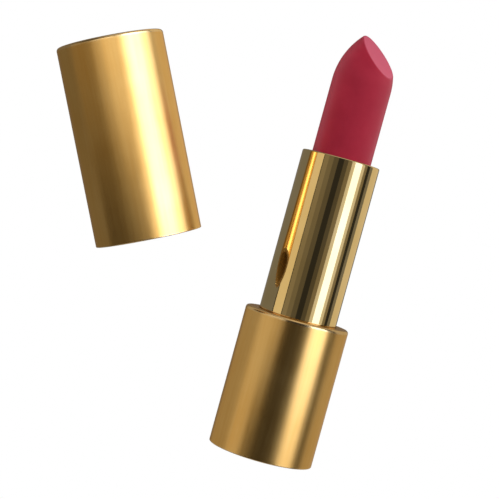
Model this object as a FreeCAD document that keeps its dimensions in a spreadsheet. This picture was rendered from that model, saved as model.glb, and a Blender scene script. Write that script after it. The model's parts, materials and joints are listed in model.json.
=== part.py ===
import FreeCAD, Part
import math
import os
import re

import Sketcher

"""Lipstick case with a twist mechanism, drawn as fourteen separate pieces.

Every piece is modelled upright on its own Z axis, height zero at the foot of the
base (or at the mouth of the cap), and then laid down: the lipstick along +Y with
its foot face centred on the origin, the cap beside it on the same table.
All lengths are millimetres and live in one sheet, so a size is changed in one place.
"""

# name, number, what it is
SIZES = (
    ("bullet_radius", 6.05, "standard slim stick, 12.1 across"),
    ("cup_wall", 0.35, "moulded wall round the stick"),
    ("slide_gap", 0.05, "radial gap, cup sliding in the fork"),
    ("fork_wall", 0.55, "wall of the slotted inner body"),
    ("turn_gap", 0.05, "radial gap, spiral turning on the fork"),
    ("spiral_wall", 0.5, "wall of the helical guide"),
    ("sleeve_wall", 0.4, "drawn aluminium sleeve"),
    ("shoulder_gap", 0.1, "radial gap, sleeve through the shoulder"),
    ("bore_gap", 0.08, "radial gap, spiral turning in the base socket"),
    ("end_gap", 0.1, "axial gap at turning faces"),
    ("shoulder_width", 2.675, "step from the sleeve out to the base"),
    ("shell_wall", 0.6, "drawn aluminium of base and cap"),
    ("shell_end", 0.8, "closed ends of the drawn shells"),
    ("base_length", 28.5, "foot to shoulder"),
    ("sleeve_rise", 32.9, "shoulder to sleeve rim"),
    ("relief_step", 0.2, "sleeve turned down where it enters the shoulder"),
    ("relief_rise", 0.1, "shoulder to the top of that relief"),
    ("lip_drop", 0.4, "thickness of the rim turned inward"),
    ("lip_gap", 0.15, "radial gap, cup through the rim"),
    ("edge_round", 0.6, "outer corner of the shoulder and the cap top"),
    ("foot_round", 0.2, "outer corner at the open ends"),
    ("rim_round", 0.3, "outer corner of the sleeve rim"),
    ("disc_recess", 0.6, "foot to the closing disc"),
    ("disc_thick", 0.6, "closing disc"),
    ("label_margin", 2.025, "blank shade label to the shell"),
    ("label_thick", 0.1, "blank shade label"),
    ("weight_thick", 5.0, "steel slug in the base"),
    ("socket_floor", 1.0, "floor of the base socket"),
    ("socket_skirt", 0.825, "skirt of the base socket"),
    ("socket_tube", 0.8, "tube of the base socket round the fork"),
    ("socket_web", 1.3, "web joining the socket tube and skirt"),
    ("drain_radius", 2.0, "hole left by the core pin"),
    ("collar_thick", 1.4, "retaining collar of the spiral"),
    ("collar_step", 1.45, "how far the collar stands out"),
    ("spiral_tail", 4.25, "spiral below its helical slots"),
    ("ring_touch", 0.02, "torque ring to the spiral"),
    ("ring_section", 0.29, "section radius of the torque ring"),
    ("ring_drop", 2.35, "collar pocket floor down to the ring"),
    ("ring_play", 0.06, "axial play of the ring in its groove, each side"),
    ("key_width", 1.2, "keys that stop the fork turning"),
    ("key_step", 0.4, "how far the keys stand out"),
    ("key_gap", 0.02, "clearance round the keys"),
    ("key_drop", 4.1, "spiral seat down to the top of the keys"),
    ("rib_width", 0.8, "stiffening ribs"),
    ("rib_gap", 0.05, "cap liner ribs to the cap shell"),
    ("fork_drop", 0.8, "sleeve rim down to the fork top"),
    ("spiral_drop", 0.5, "sleeve rim down to the spiral top"),
    ("cup_drop", 0.8, "sleeve rim down to the cup rim, stick raised"),
    ("cup_height", 10.0, "carrier cup"),
    ("cup_floor", 0.6, "carrier cup"),
    ("lug_height", 2.0, "cup foot to the lug axis"),
    ("lug_radius", 0.95, "guide lugs of the cup"),
    ("lug_reach", 0.4, "how far a lug passes the fork"),
    ("slot_gap", 0.1, "clearance each side of a lug in its slots"),
    ("slot_run", 0.25, "spare slot length past each end of travel"),
    ("slot_over", 0.15, "helical cutter past each face of the wall"),
    ("slot_slant", 0.03, "extra height for the slant of the helical slots"),
    ("travel", 26.0, "stroke of the stick"),
    ("turns", 1.5, "turns of the sleeve for the full stroke"),
    ("stick_straight", 15.0, "sleeve rim to the end of the straight stick"),
    ("ogive_radius", 14.5, "arc of the stick head"),
    ("facet_low", 17.6, "sleeve rim to the low edge of the slanted face"),
    ("facet_inset", 0.25, "that low edge in from the side of the stick"),
    ("facet_turn", -40.0, "direction the slanted face looks, degrees"),
    ("facet_round", 0.15, "softened edge of the slanted face"),
    ("cap_headroom", 0.8, "sleeve rim to the cap liner when shut"),
    ("cap_weight_thick", 4.5, "steel slug in the cap"),
    ("cap_gap", 0.1, "radial gap, cap liner over the sleeve"),
    ("cap_inset", 0.3, "cap liner set back from the mouth"),
    ("cap_lead", 0.3, "lead-in chamfer of the cap liner"),
    ("cap_wall", 0.8, "cap liner"),
    ("cap_flange", 1.2, "mouth flange of the cap liner"),
    ("cap_weight_gap", 0.525, "steel slug to the cap shell"),
    ("grip_radius", 0.4, "round grip beads inside the cap liner"),
    ("grip_bite", 0.08, "how far a grip bead stands into the bore"),
    ("grip_start", 4.0, "mouth to the beads"),
    ("grip_length", 20.0, "length of the beads"),
    ("cap_across", -33.0, "where the cap mouth lies, across the lipstick"),
    ("cap_along", 36.2, "where the cap mouth lies, along the lipstick"),
    ("cap_turn", 26.4, "how far the cap is turned from the lipstick, degrees"),
)

# Radii, from the stick outward
CUP = "bullet_radius + cup_wall"
FORK_IN = CUP + " + slide_gap"
FORK = FORK_IN + " + fork_wall"
SPIRAL_IN = FORK + " + turn_gap"
SPIRAL = SPIRAL_IN + " + spiral_wall"
SLEEVE = SPIRAL + " + sleeve_wall"
RELIEF = SLEEVE + " - relief_step"
SHOULDER_HOLE = SLEEVE + " + shoulder_gap"
SHELL = SLEEVE + " + shoulder_width"
SHELL_IN = SHELL + " - shell_wall"
SKIRT_IN = SHELL_IN + " - socket_skirt"
SOCKET_BORE = SPIRAL + " + bore_gap"
COLLAR = SPIRAL + " + collar_step"
POCKET = COLLAR + " + bore_gap"
RING_PATH = SPIRAL + " + ring_touch + ring_section"
RING_GROOVE = RING_PATH + " + ring_section"
TUBE = FORK + " + socket_tube"
LIP = CUP + " + lip_gap"
CAP_BORE = SLEEVE + " + cap_gap"
CAP_TUBE = CAP_BORE + " + cap_wall"
LABEL = SHELL_IN + " - label_margin"
CAP_WEIGHT = SHELL_IN + " - cap_weight_gap"

# Heights, from the foot upward
DISC_TOP = "disc_recess + disc_thick"
WEIGHT_TOP = DISC_TOP + " + weight_thick"
FORK_FOOT = WEIGHT_TOP + " + socket_floor"
SHOULDER_UNDER = "base_length - shell_end"
COLLAR_TOP = SHOULDER_UNDER + " - end_gap"
COLLAR_FOOT = COLLAR_TOP + " - collar_thick"
POCKET_FLOOR = COLLAR_FOOT + " - end_gap"
RING_LEVEL = POCKET_FLOOR + " - ring_drop"
RELIEF_TOP = "base_length + relief_rise"
RIM = "base_length + sleeve_rise"
LIP_UNDER = RIM + " - lip_drop"
SPIRAL_TOP = RIM + " - spiral_drop"
FORK_TOP = RIM + " - fork_drop"
CUP_RIM = RIM + " - cup_drop"
CUP_FOOT = CUP_RIM + " - cup_height"
LUG = CUP_FOOT + " + lug_height"
STICK_FOOT = CUP_FOOT + " + cup_floor"
SLOT_FOOT = LUG + " - travel - lug_radius"
SPIRAL_FOOT = SLOT_FOOT + " - spiral_tail"
FORK_SEAT = SPIRAL_FOOT + " - end_gap"
WEB_FOOT = FORK_SEAT + " - socket_web"
KEY_TOP = FORK_SEAT + " - key_drop"
FACET_LOW = RIM + " + facet_low"
FACET_EDGE = "(bullet_radius - facet_inset)"

# Heights in the cap, from its mouth
CAP_DEPTH = "sleeve_rise + cap_headroom"
CAP_CEILING = CAP_DEPTH + " + cap_wall"
CAP_UNDER = CAP_CEILING + " + cap_weight_thick"
CAP_TOP = CAP_UNDER + " + shell_end"

WORDS = sorted((name for name, _, _ in SIZES), key=len, reverse=True)
WORD = re.compile(r"\b(" + "|".join(WORDS) + r")\b")

doc = FreeCAD.newDocument("LipstickCase")
sheet = doc.addObject("Spreadsheet::Sheet", "Sizes")
for row, (name, number, note) in enumerate(SIZES, start=1):
    sheet.set(f"A{row}", str(number))
    sheet.setAlias(f"A{row}", name)
    sheet.set(f"B{row}", note)
doc.recompute()


def tied(expression):
    """Return the expression with every size name pointing at the sheet."""
    return WORD.sub(r"Sizes.\1", expression)


def value(expression):
    """Return the number an expression has now."""
    return float(sheet.evalExpression(tied(expression)))


def less(expression):
    """Return the expression made negative."""
    return f"-({expression})"


def half(expression):
    """Return half of the expression."""
    return f"({expression}) / 2"


# ---------------------------------------------------------------- sketches


def origin_part(body, role):
    """Find one of the body's own origin planes or axes."""
    for feature in body.Origin.OriginFeatures:
        if feature.Role == role:
            return feature
    raise LookupError(role)


def new_sketch(body, role, lift=None, turn=None):
    """Start a sketch on an origin plane, lifted off it or turned about Z."""
    sketch = body.newObject("Sketcher::SketchObject", f"{body.Label}_sketch")
    sketch.AttachmentSupport = [(origin_part(body, role), "")]
    sketch.MapMode = "FlatFace"
    if turn is not None:
        axis = FreeCAD.Vector(0, 1, 0)
        turned_by = FreeCAD.Rotation(axis, value(turn))
        sketch.AttachmentOffset = FreeCAD.Placement(FreeCAD.Vector(), turned_by)
    if lift is not None:
        sketch.setExpression("AttachmentOffset.Base.z", tied(lift))
    return sketch


def tie(sketch, kind, places, expression):
    """Add one sized constraint and tie its number to the sheet."""
    index = sketch.addConstraint(Sketcher.Constraint(kind, *places, value(expression)))
    sketch.setExpression(f"Constraints[{index}]", tied(expression))


def pin(sketch, curve, point, across, up):
    """Fix one point of a curve by its two distances from the sketch origin."""
    for kind, axis_line, expression in (("DistanceX", -2, across), ("DistanceY", -1, up)):
        if abs(value(expression)) < 1e-9:
            sketch.addConstraint(Sketcher.Constraint("PointOnObject", curve, point, axis_line))
        else:
            tie(sketch, kind, (-1, 1, curve, point), expression)


def draw_outline(sketch, corners):
    """Draw a closed run of straight lines through corners given as expressions."""
    places = [FreeCAD.Vector(value(across), value(up), 0) for across, up in corners]
    following = places[1:] + places[:1]
    for start, end in zip(places, following):
        sketch.addGeometry(Part.LineSegment(start, end), False)
    count = len(corners)
    for index in range(count):
        after = (index + 1) % count
        sketch.addConstraint(Sketcher.Constraint("Coincident", index, 2, after, 1))
    for index, (across, up) in enumerate(corners):
        pin(sketch, index, 1, across, up)


def draw_box(sketch, left, right, bottom, top):
    """Draw a rectangle between four expressions."""
    draw_outline(sketch, ((left, bottom), (right, bottom), (right, top), (left, top)))


def draw_circle(sketch, across, up, radius):
    """Draw a circle from expressions for its centre and radius."""
    centre = FreeCAD.Vector(value(across), value(up), 0)
    normal = FreeCAD.Vector(0, 0, 1)
    curve = sketch.addGeometry(Part.Circle(centre, normal, value(radius)), False)
    tie(sketch, "Radius", (curve,), radius)
    pin(sketch, curve, 3, across, up)


# ---------------------------------------------------------------- features


def revolve(body, sketch):
    """Turn a sketch all the way round the upright axis."""
    feature = body.newObject("PartDesign::Revolution", f"{body.Label}_turned")
    feature.Profile = sketch
    feature.ReferenceAxis = (sketch, ["V_Axis"])
    feature.Angle = 360
    sketch.Visibility = False
    doc.recompute()
    return feature


def turned(label, corners):
    """Make a body by turning one outline of (radius, height) corners."""
    body = doc.addObject("PartDesign::Body", label)
    sketch = new_sketch(body, "XZ_Plane")
    draw_outline(sketch, corners)
    revolve(body, sketch)
    return body


def pad(body, sketch, length):
    """Add the sketch's area, drawn out by the length."""
    feature = body.newObject("PartDesign::Pad", f"{body.Label}_pad")
    feature.Profile = sketch
    feature.setExpression("Length", tied(length))
    sketch.Visibility = False
    doc.recompute()
    return feature


def cut(body, sketch, length=None):
    """Take the sketch's area away, to a length or right through both ways."""
    before = body.Shape.Volume
    feature = body.newObject("PartDesign::Pocket", f"{body.Label}_cut")
    feature.Profile = sketch
    if length is None:
        feature.Midplane = True
        feature.Type = "ThroughAll"
    else:
        feature.Reversed = True
        feature.setExpression("Length", tied(length))
    sketch.Visibility = False
    doc.recompute()
    if not feature.Shape.Volume < before - 1e-6:
        raise ValueError(f"{body.Label}: the cut took nothing away")
    return feature


def around(body, feature, count):
    """Repeat a feature evenly round the upright axis."""
    pattern = body.newObject("PartDesign::PolarPattern", f"{body.Label}_around")
    pattern.Originals = [feature]
    pattern.Axis = (origin_part(body, "Z_Axis"), [""])
    pattern.Angle = 360
    pattern.Occurrences = count
    body.Tip = pattern
    doc.recompute()
    return pattern


def rings(shape, radius, height):
    """Name the circular edges of one radius lying at one height."""
    names = []
    for number, edge in enumerate(shape.Edges, start=1):
        curve = edge.Curve
        if not isinstance(curve, Part.Circle):
            continue
        same_size = abs(curve.Radius - value(radius)) < 1e-4
        if same_size and abs(curve.Center.z - value(height)) < 1e-4:
            names.append(f"Edge{number}")
    return names


def round_edges(body, names, radius):
    """Round named edges of the body's last feature."""
    if not names:
        raise LookupError(f"{body.Label}: no edge to round")
    last = body.Tip
    feature = body.newObject("PartDesign::Fillet", f"{body.Label}_round")
    feature.Base = (last, names)
    feature.setExpression("Radius", tied(radius))
    doc.recompute()
    if feature.Shape.isNull() or not feature.Shape.isValid():
        raise ValueError(f"{body.Label}: rounding failed")
    return feature


def round_ring(body, radius, height, by):
    """Round the circular edge of one radius and height."""
    round_edges(body, rings(body.Tip.Shape, radius, height), by)


# ---------------------------------------------------------------- the base


def make_base_shell():
    """Drawn cup standing on its open end, with the hole for the sleeve."""
    body = turned("base_shell", (
        (SHELL_IN, "0"), (SHELL, "0"), (SHELL, "base_length"),
        (SHOULDER_HOLE, "base_length"), (SHOULDER_HOLE, SHOULDER_UNDER),
        (SHELL_IN, SHOULDER_UNDER)))
    round_ring(body, SHELL, "base_length", "edge_round")
    round_ring(body, SHELL, "0", "foot_round")
    return body


def make_base_liner():
    """Socket that fills the shell: skirt, fork tube, guide bore and ring groove."""
    groove_low = RING_LEVEL + " - ring_section - ring_play"
    groove_high = RING_LEVEL + " + ring_section + ring_play"
    body = turned("base_liner", (
        (SKIRT_IN, DISC_TOP), (SHELL_IN, DISC_TOP), (SHELL_IN, SHOULDER_UNDER),
        (POCKET, SHOULDER_UNDER), (POCKET, POCKET_FLOOR), (SOCKET_BORE, POCKET_FLOOR),
        (SOCKET_BORE, groove_high), (RING_GROOVE, groove_high),
        (RING_GROOVE, groove_low), (SOCKET_BORE, groove_low),
        (SOCKET_BORE, FORK_SEAT), (FORK, FORK_SEAT), (FORK, FORK_FOOT),
        ("drain_radius", FORK_FOOT), ("drain_radius", WEIGHT_TOP),
        (TUBE, WEIGHT_TOP), (TUBE, WEB_FOOT), (SKIRT_IN, WEB_FOOT)))
    ribs = new_sketch(body, "XY_Plane", lift=WEIGHT_TOP)
    inner = TUBE + " - " + half("socket_tube")
    outer = SKIRT_IN + " + " + half("socket_skirt")
    draw_box(ribs, inner, outer, less(half("rib_width")), half("rib_width"))
    rise = f"({WEB_FOOT}) - ({WEIGHT_TOP})"
    around(body, pad(body, ribs, rise), 8)
    keyways = new_sketch(body, "XY_Plane", lift=FORK_FOOT)
    side = half("key_width") + " + key_gap"
    reach = FORK + " + key_step + key_gap"
    draw_box(keyways, less(side), side, less(reach), reach)
    cut(body, keyways, f"({KEY_TOP}) - ({FORK_FOOT}) + key_gap")
    return body


def make_base_weight():
    """Steel slug between the closing disc and the socket."""
    return turned("base_weight", (
        ("0", DISC_TOP), (SKIRT_IN, DISC_TOP), (SKIRT_IN, WEIGHT_TOP), ("0", WEIGHT_TOP)))


def make_bottom_disc():
    """Disc that closes the foot of the base."""
    return turned("bottom_disc", (
        ("0", "disc_recess"), (SHELL_IN, "disc_recess"), (SHELL_IN, DISC_TOP), ("0", DISC_TOP)))


def make_shade_label():
    """Blank label under the closing disc."""
    low = "disc_recess - label_thick"
    return turned("shade_label", (
        ("0", low), (LABEL, low), (LABEL, "disc_recess"), ("0", "disc_recess")))


def make_inner_body():
    """Fork tube: two straight slots for the lugs, two keys into the socket."""
    floor_top = FORK_FOOT + " + socket_floor"
    body = turned("inner_body", (
        ("drain_radius", FORK_FOOT), (FORK, FORK_FOOT), (FORK, FORK_TOP),
        (FORK_IN, FORK_TOP), (FORK_IN, floor_top), ("drain_radius", floor_top)))
    slots = new_sketch(body, "YZ_Plane")
    side = "lug_radius + slot_gap"
    low = SLOT_FOOT + " - slot_run"
    high = LUG + " + lug_radius + slot_run"
    draw_box(slots, less(side), side, low, high)
    cut(body, slots)
    keys = new_sketch(body, "XY_Plane", lift=FORK_FOOT)
    inner = FORK + " - " + half("fork_wall")
    outer = FORK + " + key_step"
    draw_box(keys, less(half("key_width")), half("key_width"), inner, outer)
    around(body, pad(body, keys, f"({KEY_TOP}) - ({FORK_FOOT})"), 2)
    return body


def make_torque_ring():
    """Rubber ring in the socket groove, for an even feel when twisting."""
    body = doc.addObject("PartDesign::Body", "torque_ring")
    sketch = new_sketch(body, "XZ_Plane")
    draw_circle(sketch, RING_PATH, RING_LEVEL, "ring_section")
    revolve(body, sketch)
    return body


# ---------------------------------------------------------------- the sleeve


def make_sleeve_shell():
    """Polished sleeve, relieved at the shoulder, with its rim turned inward."""
    body = turned("sleeve_shell", (
        (SPIRAL, COLLAR_TOP), (RELIEF, COLLAR_TOP), (RELIEF, RELIEF_TOP),
        (SLEEVE, RELIEF_TOP), (SLEEVE, RIM), (LIP, RIM), (LIP, LIP_UNDER),
        (SPIRAL, LIP_UNDER)))
    round_ring(body, SLEEVE, RIM, "rim_round")
    return body


def make_spiral():
    """Helical guide: two slots that raise the lugs, and the collar that holds it."""
    body = turned("spiral", (
        (SPIRAL_IN, SPIRAL_FOOT), (SPIRAL, SPIRAL_FOOT), (SPIRAL, COLLAR_FOOT),
        (COLLAR, COLLAR_FOOT), (COLLAR, COLLAR_TOP), (SPIRAL, COLLAR_TOP),
        (SPIRAL, SPIRAL_TOP), (SPIRAL_IN, SPIRAL_TOP)))
    start = LUG + " - travel"
    back = "-360 * turns"
    side = "lug_radius + slot_gap"
    section = new_sketch(body, "XZ_Plane", turn=back)
    draw_box(section, SPIRAL_IN + " - slot_over", SPIRAL + " + slot_over",
             f"{start} - ({side}) - slot_slant", f"{start} + ({side}) + slot_slant")
    before = body.Shape.Volume
    helix = body.newObject("PartDesign::SubtractiveHelix", "spiral_helix")
    helix.Profile = section
    helix.ReferenceAxis = (section, ["V_Axis"])
    helix.Mode = "height-turns-angle"
    helix.setExpression("Height", tied("travel"))
    helix.setExpression("Turns", tied("turns"))
    section.Visibility = False
    doc.recompute()
    if not helix.Shape.Volume < before - 1e-6:
        raise ValueError("spiral: the helical slot took nothing away")
    around(body, helix, 2)
    for level, turn in ((start, back), (LUG, "0")):
        end = new_sketch(body, "YZ_Plane", turn=turn)
        draw_circle(end, "0", level, side)
        cut(body, end)
    return body


# ---------------------------------------------------------------- the carrier


def make_cup():
    """Cup that holds the stick, with its two guide lugs."""
    body = turned("cup", (
        ("0", CUP_FOOT), (CUP, CUP_FOOT), (CUP, CUP_RIM), ("bullet_radius", CUP_RIM),
        ("bullet_radius", STICK_FOOT), ("0", STICK_FOOT)))
    root = "bullet_radius + " + half("cup_wall")
    lug = new_sketch(body, "YZ_Plane", lift=root)
    draw_circle(lug, "0", LUG, "lug_radius")
    reach = f"({FORK} + lug_reach) - ({root})"
    around(body, pad(body, lug, reach), 2)
    return body


def make_bullet():
    """Stick of colour: straight, then an ogive head cut by a slanted face."""
    body = doc.addObject("PartDesign::Body", "bullet")
    shoulder = RIM + " + stick_straight"
    foot, bend = value(STICK_FOOT), value(shoulder)
    radius, arc = value("bullet_radius"), value("ogive_radius")
    centre = FreeCAD.Vector(radius - arc, bend, 0)
    sweep = math.acos((arc - radius) / arc)
    apex = bend + arc * math.sin(sweep)
    sketch = new_sketch(body, "XZ_Plane")
    point = FreeCAD.Vector
    sketch.addGeometry(Part.LineSegment(point(0, foot, 0), point(radius, foot, 0)), False)
    sketch.addGeometry(Part.LineSegment(point(radius, foot, 0), point(radius, bend, 0)), False)
    head = Part.Circle(centre, point(0, 0, 1), arc)
    sketch.addGeometry(Part.ArcOfCircle(head, 0, sweep), False)
    sketch.addGeometry(Part.LineSegment(point(0, apex, 0), point(0, foot, 0)), False)
    for first, second in ((0, 1), (2, 3), (3, 0)):
        sketch.addConstraint(Sketcher.Constraint("Coincident", first, 2, second, 1))
    sketch.addConstraint(Sketcher.Constraint("Tangent", 1, 2, 2, 1))
    sketch.addConstraint(Sketcher.Constraint("PointOnObject", 3, 1, -2))
    pin(sketch, 0, 1, "0", STICK_FOOT)
    pin(sketch, 1, 1, "bullet_radius", STICK_FOOT)
    pin(sketch, 1, 2, "bullet_radius", shoulder)
    tie(sketch, "Radius", (2,), "ogive_radius")
    revolve(body, sketch)
    wedge = new_sketch(body, "XZ_Plane", turn="facet_turn")
    wide, tall = "(bullet_radius * 1.5)", "(ogive_radius * 1.5)"
    draw_outline(wedge, (
        (wide, f"{FACET_LOW} + {FACET_EDGE} - {wide}"), (wide, f"{FACET_LOW} + {tall}"),
        (f"{FACET_EDGE} - {tall}", f"{FACET_LOW} + {tall}")))
    cut(body, wedge)
    facet = max(body.Shape.Faces, key=lambda face: abs(face.normalAt(0, 0).z)
                if isinstance(face.Surface, Part.Plane) and face.CenterOfMass.z > bend else 0)
    names = [f"Edge{number}" for number, edge in enumerate(body.Shape.Edges, start=1)
             if any(edge.isSame(other) for other in facet.Edges)]
    round_edges(body, names, "facet_round")
    return body


# ---------------------------------------------------------------- the cap


def make_cap_shell():
    """Drawn cap, closed at the far end."""
    body = turned("cap_shell", (
        (SHELL_IN, "0"), (SHELL, "0"), (SHELL, CAP_TOP), ("0", CAP_TOP),
        ("0", CAP_UNDER), (SHELL_IN, CAP_UNDER)))
    round_ring(body, SHELL, CAP_TOP, "edge_round")
    round_ring(body, SHELL, "0", "foot_round")
    return body


def make_cap_liner():
    """Liner that slides over the sleeve and grips it with six beads."""
    flange_top = "cap_inset + cap_flange"
    body = turned("cap_liner", (
        (CAP_BORE + " + cap_lead", "cap_inset"), (SHELL_IN, "cap_inset"),
        (SHELL_IN, flange_top), (CAP_TUBE, flange_top), (CAP_TUBE, CAP_DEPTH),
        (SHELL_IN, CAP_DEPTH), (SHELL_IN, CAP_CEILING), ("0", CAP_CEILING),
        ("0", CAP_DEPTH), (CAP_BORE, CAP_DEPTH), (CAP_BORE, "cap_inset + cap_lead")))
    ribs = new_sketch(body, "XY_Plane", lift=flange_top)
    draw_box(ribs, CAP_TUBE + " - " + half("cap_wall"), SHELL_IN + " - rib_gap",
             less(half("rib_width")), half("rib_width"))
    around(body, pad(body, ribs, f"{CAP_DEPTH} - ({flange_top})"), 6)
    beads = new_sketch(body, "XY_Plane", lift="grip_start")
    draw_circle(beads, CAP_BORE + " - grip_bite + grip_radius", "0", "grip_radius")
    around(body, pad(body, beads, "grip_length"), 6)
    return body


def make_cap_weight():
    """Steel slug between the liner and the closed end."""
    return turned("cap_weight", (
        ("0", CAP_CEILING), (CAP_WEIGHT, CAP_CEILING),
        (CAP_WEIGHT, CAP_UNDER), ("0", CAP_UNDER)))


# ---------------------------------------------------------------- assembly

LYING = FreeCAD.Placement(
    FreeCAD.Vector(), FreeCAD.Rotation(FreeCAD.Vector(1, 0, 0), -90))
CAP_PLACE = FreeCAD.Placement(
    FreeCAD.Vector(value("cap_across"), value("cap_along"), 0),
    FreeCAD.Rotation(FreeCAD.Vector(0, 0, 1), value("cap_turn"))) * LYING

PIECES = (
    (LYING, (make_base_shell, make_base_liner, make_base_weight, make_bottom_disc,
             make_shade_label, make_inner_body, make_torque_ring,
             make_sleeve_shell, make_spiral, make_cup, make_bullet)),
    (CAP_PLACE, (make_cap_shell, make_cap_liner, make_cap_weight)),
)

os.makedirs("parts", exist_ok=True)
for placement, makers in PIECES:
    for maker in makers:
        piece = maker()
        piece.Placement = placement
        doc.recompute()
        shape = piece.Shape
        if shape.isNull() or not shape.isValid() or len(shape.Solids) != 1:
            raise ValueError(f"{piece.Label}: not one valid solid")
        shape.exportStep(os.path.join("parts", f"{piece.Label}.step"))
        FreeCAD.Console.PrintMessage(f"{piece.Label}: {shape.Volume:.2f} mm3\n")

troubled = [item.Label for item in doc.Objects if {"Invalid", "Error"} & set(item.State)]
if troubled:
    raise ValueError(f"objects in error: {troubled}")
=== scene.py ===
"""Lipstick case on a pale table: satin gold base and cap, polished sleeve, red stick.

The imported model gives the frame: bodies, nodes, joints and sizes. The turned metal
pieces and the stick are rebuilt here with finer meshes, and every piece gets a
procedural finish. All lengths are metres in the frame of the part.
"""

from __future__ import annotations

import json
import logging
import math
from dataclasses import dataclass, field
from enum import Enum
from typing import Callable, Iterable, Sequence, Union

import bmesh
import bpy
from mathutils import Matrix, Vector

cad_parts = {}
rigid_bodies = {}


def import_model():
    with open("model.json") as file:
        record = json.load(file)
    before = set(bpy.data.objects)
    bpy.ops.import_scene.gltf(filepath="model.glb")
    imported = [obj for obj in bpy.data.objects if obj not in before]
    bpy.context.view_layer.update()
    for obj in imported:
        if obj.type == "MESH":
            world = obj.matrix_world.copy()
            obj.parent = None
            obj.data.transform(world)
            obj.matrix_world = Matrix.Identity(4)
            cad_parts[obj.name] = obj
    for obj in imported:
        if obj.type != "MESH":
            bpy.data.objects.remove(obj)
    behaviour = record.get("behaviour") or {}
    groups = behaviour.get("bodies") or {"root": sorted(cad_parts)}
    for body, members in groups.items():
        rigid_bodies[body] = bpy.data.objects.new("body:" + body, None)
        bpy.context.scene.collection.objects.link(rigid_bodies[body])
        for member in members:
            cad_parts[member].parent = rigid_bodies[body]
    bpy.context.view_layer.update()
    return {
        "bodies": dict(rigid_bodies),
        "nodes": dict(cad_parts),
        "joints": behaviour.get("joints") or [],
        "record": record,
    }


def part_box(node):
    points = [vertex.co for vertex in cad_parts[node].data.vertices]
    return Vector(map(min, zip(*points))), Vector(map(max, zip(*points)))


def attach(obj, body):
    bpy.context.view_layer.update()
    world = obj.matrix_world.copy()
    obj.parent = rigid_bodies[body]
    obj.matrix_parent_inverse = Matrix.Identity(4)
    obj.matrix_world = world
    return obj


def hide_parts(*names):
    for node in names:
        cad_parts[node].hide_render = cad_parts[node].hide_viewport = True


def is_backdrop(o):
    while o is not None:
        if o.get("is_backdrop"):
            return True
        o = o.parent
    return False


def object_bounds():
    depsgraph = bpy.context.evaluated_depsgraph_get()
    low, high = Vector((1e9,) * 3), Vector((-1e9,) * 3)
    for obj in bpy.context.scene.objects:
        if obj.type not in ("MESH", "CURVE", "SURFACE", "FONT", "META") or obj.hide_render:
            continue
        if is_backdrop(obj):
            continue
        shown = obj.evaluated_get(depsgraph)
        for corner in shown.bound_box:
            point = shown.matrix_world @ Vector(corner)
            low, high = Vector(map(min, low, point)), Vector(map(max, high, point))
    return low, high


log = logging.getLogger("lipstick")

MM = 0.001
TURN = 2 * math.pi
EDGE = "edge"
FACET = "facet"

Colour = tuple[float, float, float]


class Body(Enum):
    """The bodies that pieces ride on."""

    BASE = "base"
    SLEEVE = "sleeve"
    CARRIER = "carrier"
    CAP = "cap"


class Slot(Enum):
    """The material slots of the record."""

    SATIN = "satin_gold"
    POLISHED = "polished_gold"
    STICK = "lip_colour"


# ------------------------------------------------------------------ shader maths


class Signal:
    """One output of a node tree that can be used in Python expressions."""

    def __init__(self, graph: "Graph", socket: bpy.types.NodeSocket) -> None:
        """Wrap a socket.

        Args:
            graph: The graph that the socket is in.
            socket: An output socket.
        """
        self.graph = graph
        self.socket = socket

    def __add__(self, other: "Term") -> "Signal":
        """Return self + other."""
        return self.graph.math("ADD", self, other)

    def __radd__(self, other: "Term") -> "Signal":
        """Return other + self."""
        return self.graph.math("ADD", other, self)

    def __sub__(self, other: "Term") -> "Signal":
        """Return self - other."""
        return self.graph.math("SUBTRACT", self, other)

    def __rsub__(self, other: "Term") -> "Signal":
        """Return other - self."""
        return self.graph.math("SUBTRACT", other, self)

    def __mul__(self, other: "Term") -> "Signal":
        """Return self * other."""
        return self.graph.math("MULTIPLY", self, other)

    def __rmul__(self, other: "Term") -> "Signal":
        """Return other * self."""
        return self.graph.math("MULTIPLY", other, self)

    def __pow__(self, other: "Term") -> "Signal":
        """Return self to the power of other."""
        return self.graph.math("POWER", self, other)

    def scaled(self, factors: Sequence[float]) -> "Signal":
        """Return the vector multiplied axis by axis.

        Args:
            factors: One factor for each axis.

        Returns:
            The stretched vector.
        """
        node = self.graph.node(
            "ShaderNodeVectorMath", {"operation": "MULTIPLY"}, {0: self, 1: tuple(factors)}
        )
        return Signal(self.graph, node.outputs["Vector"])

    def ramp(self, low: float, high: float) -> "Signal":
        """Return the value stretched so that low gives 0 and high gives 1.

        Args:
            low: The value that becomes 0.
            high: The value that becomes 1.

        Returns:
            The clamped, stretched value.
        """
        node = self.graph.node(
            "ShaderNodeMapRange", {"clamp": True},
            {"Value": self, "From Min": low, "From Max": high},
        )
        return Signal(self.graph, node.outputs["Result"])


Term = Union[Signal, float]


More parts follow.
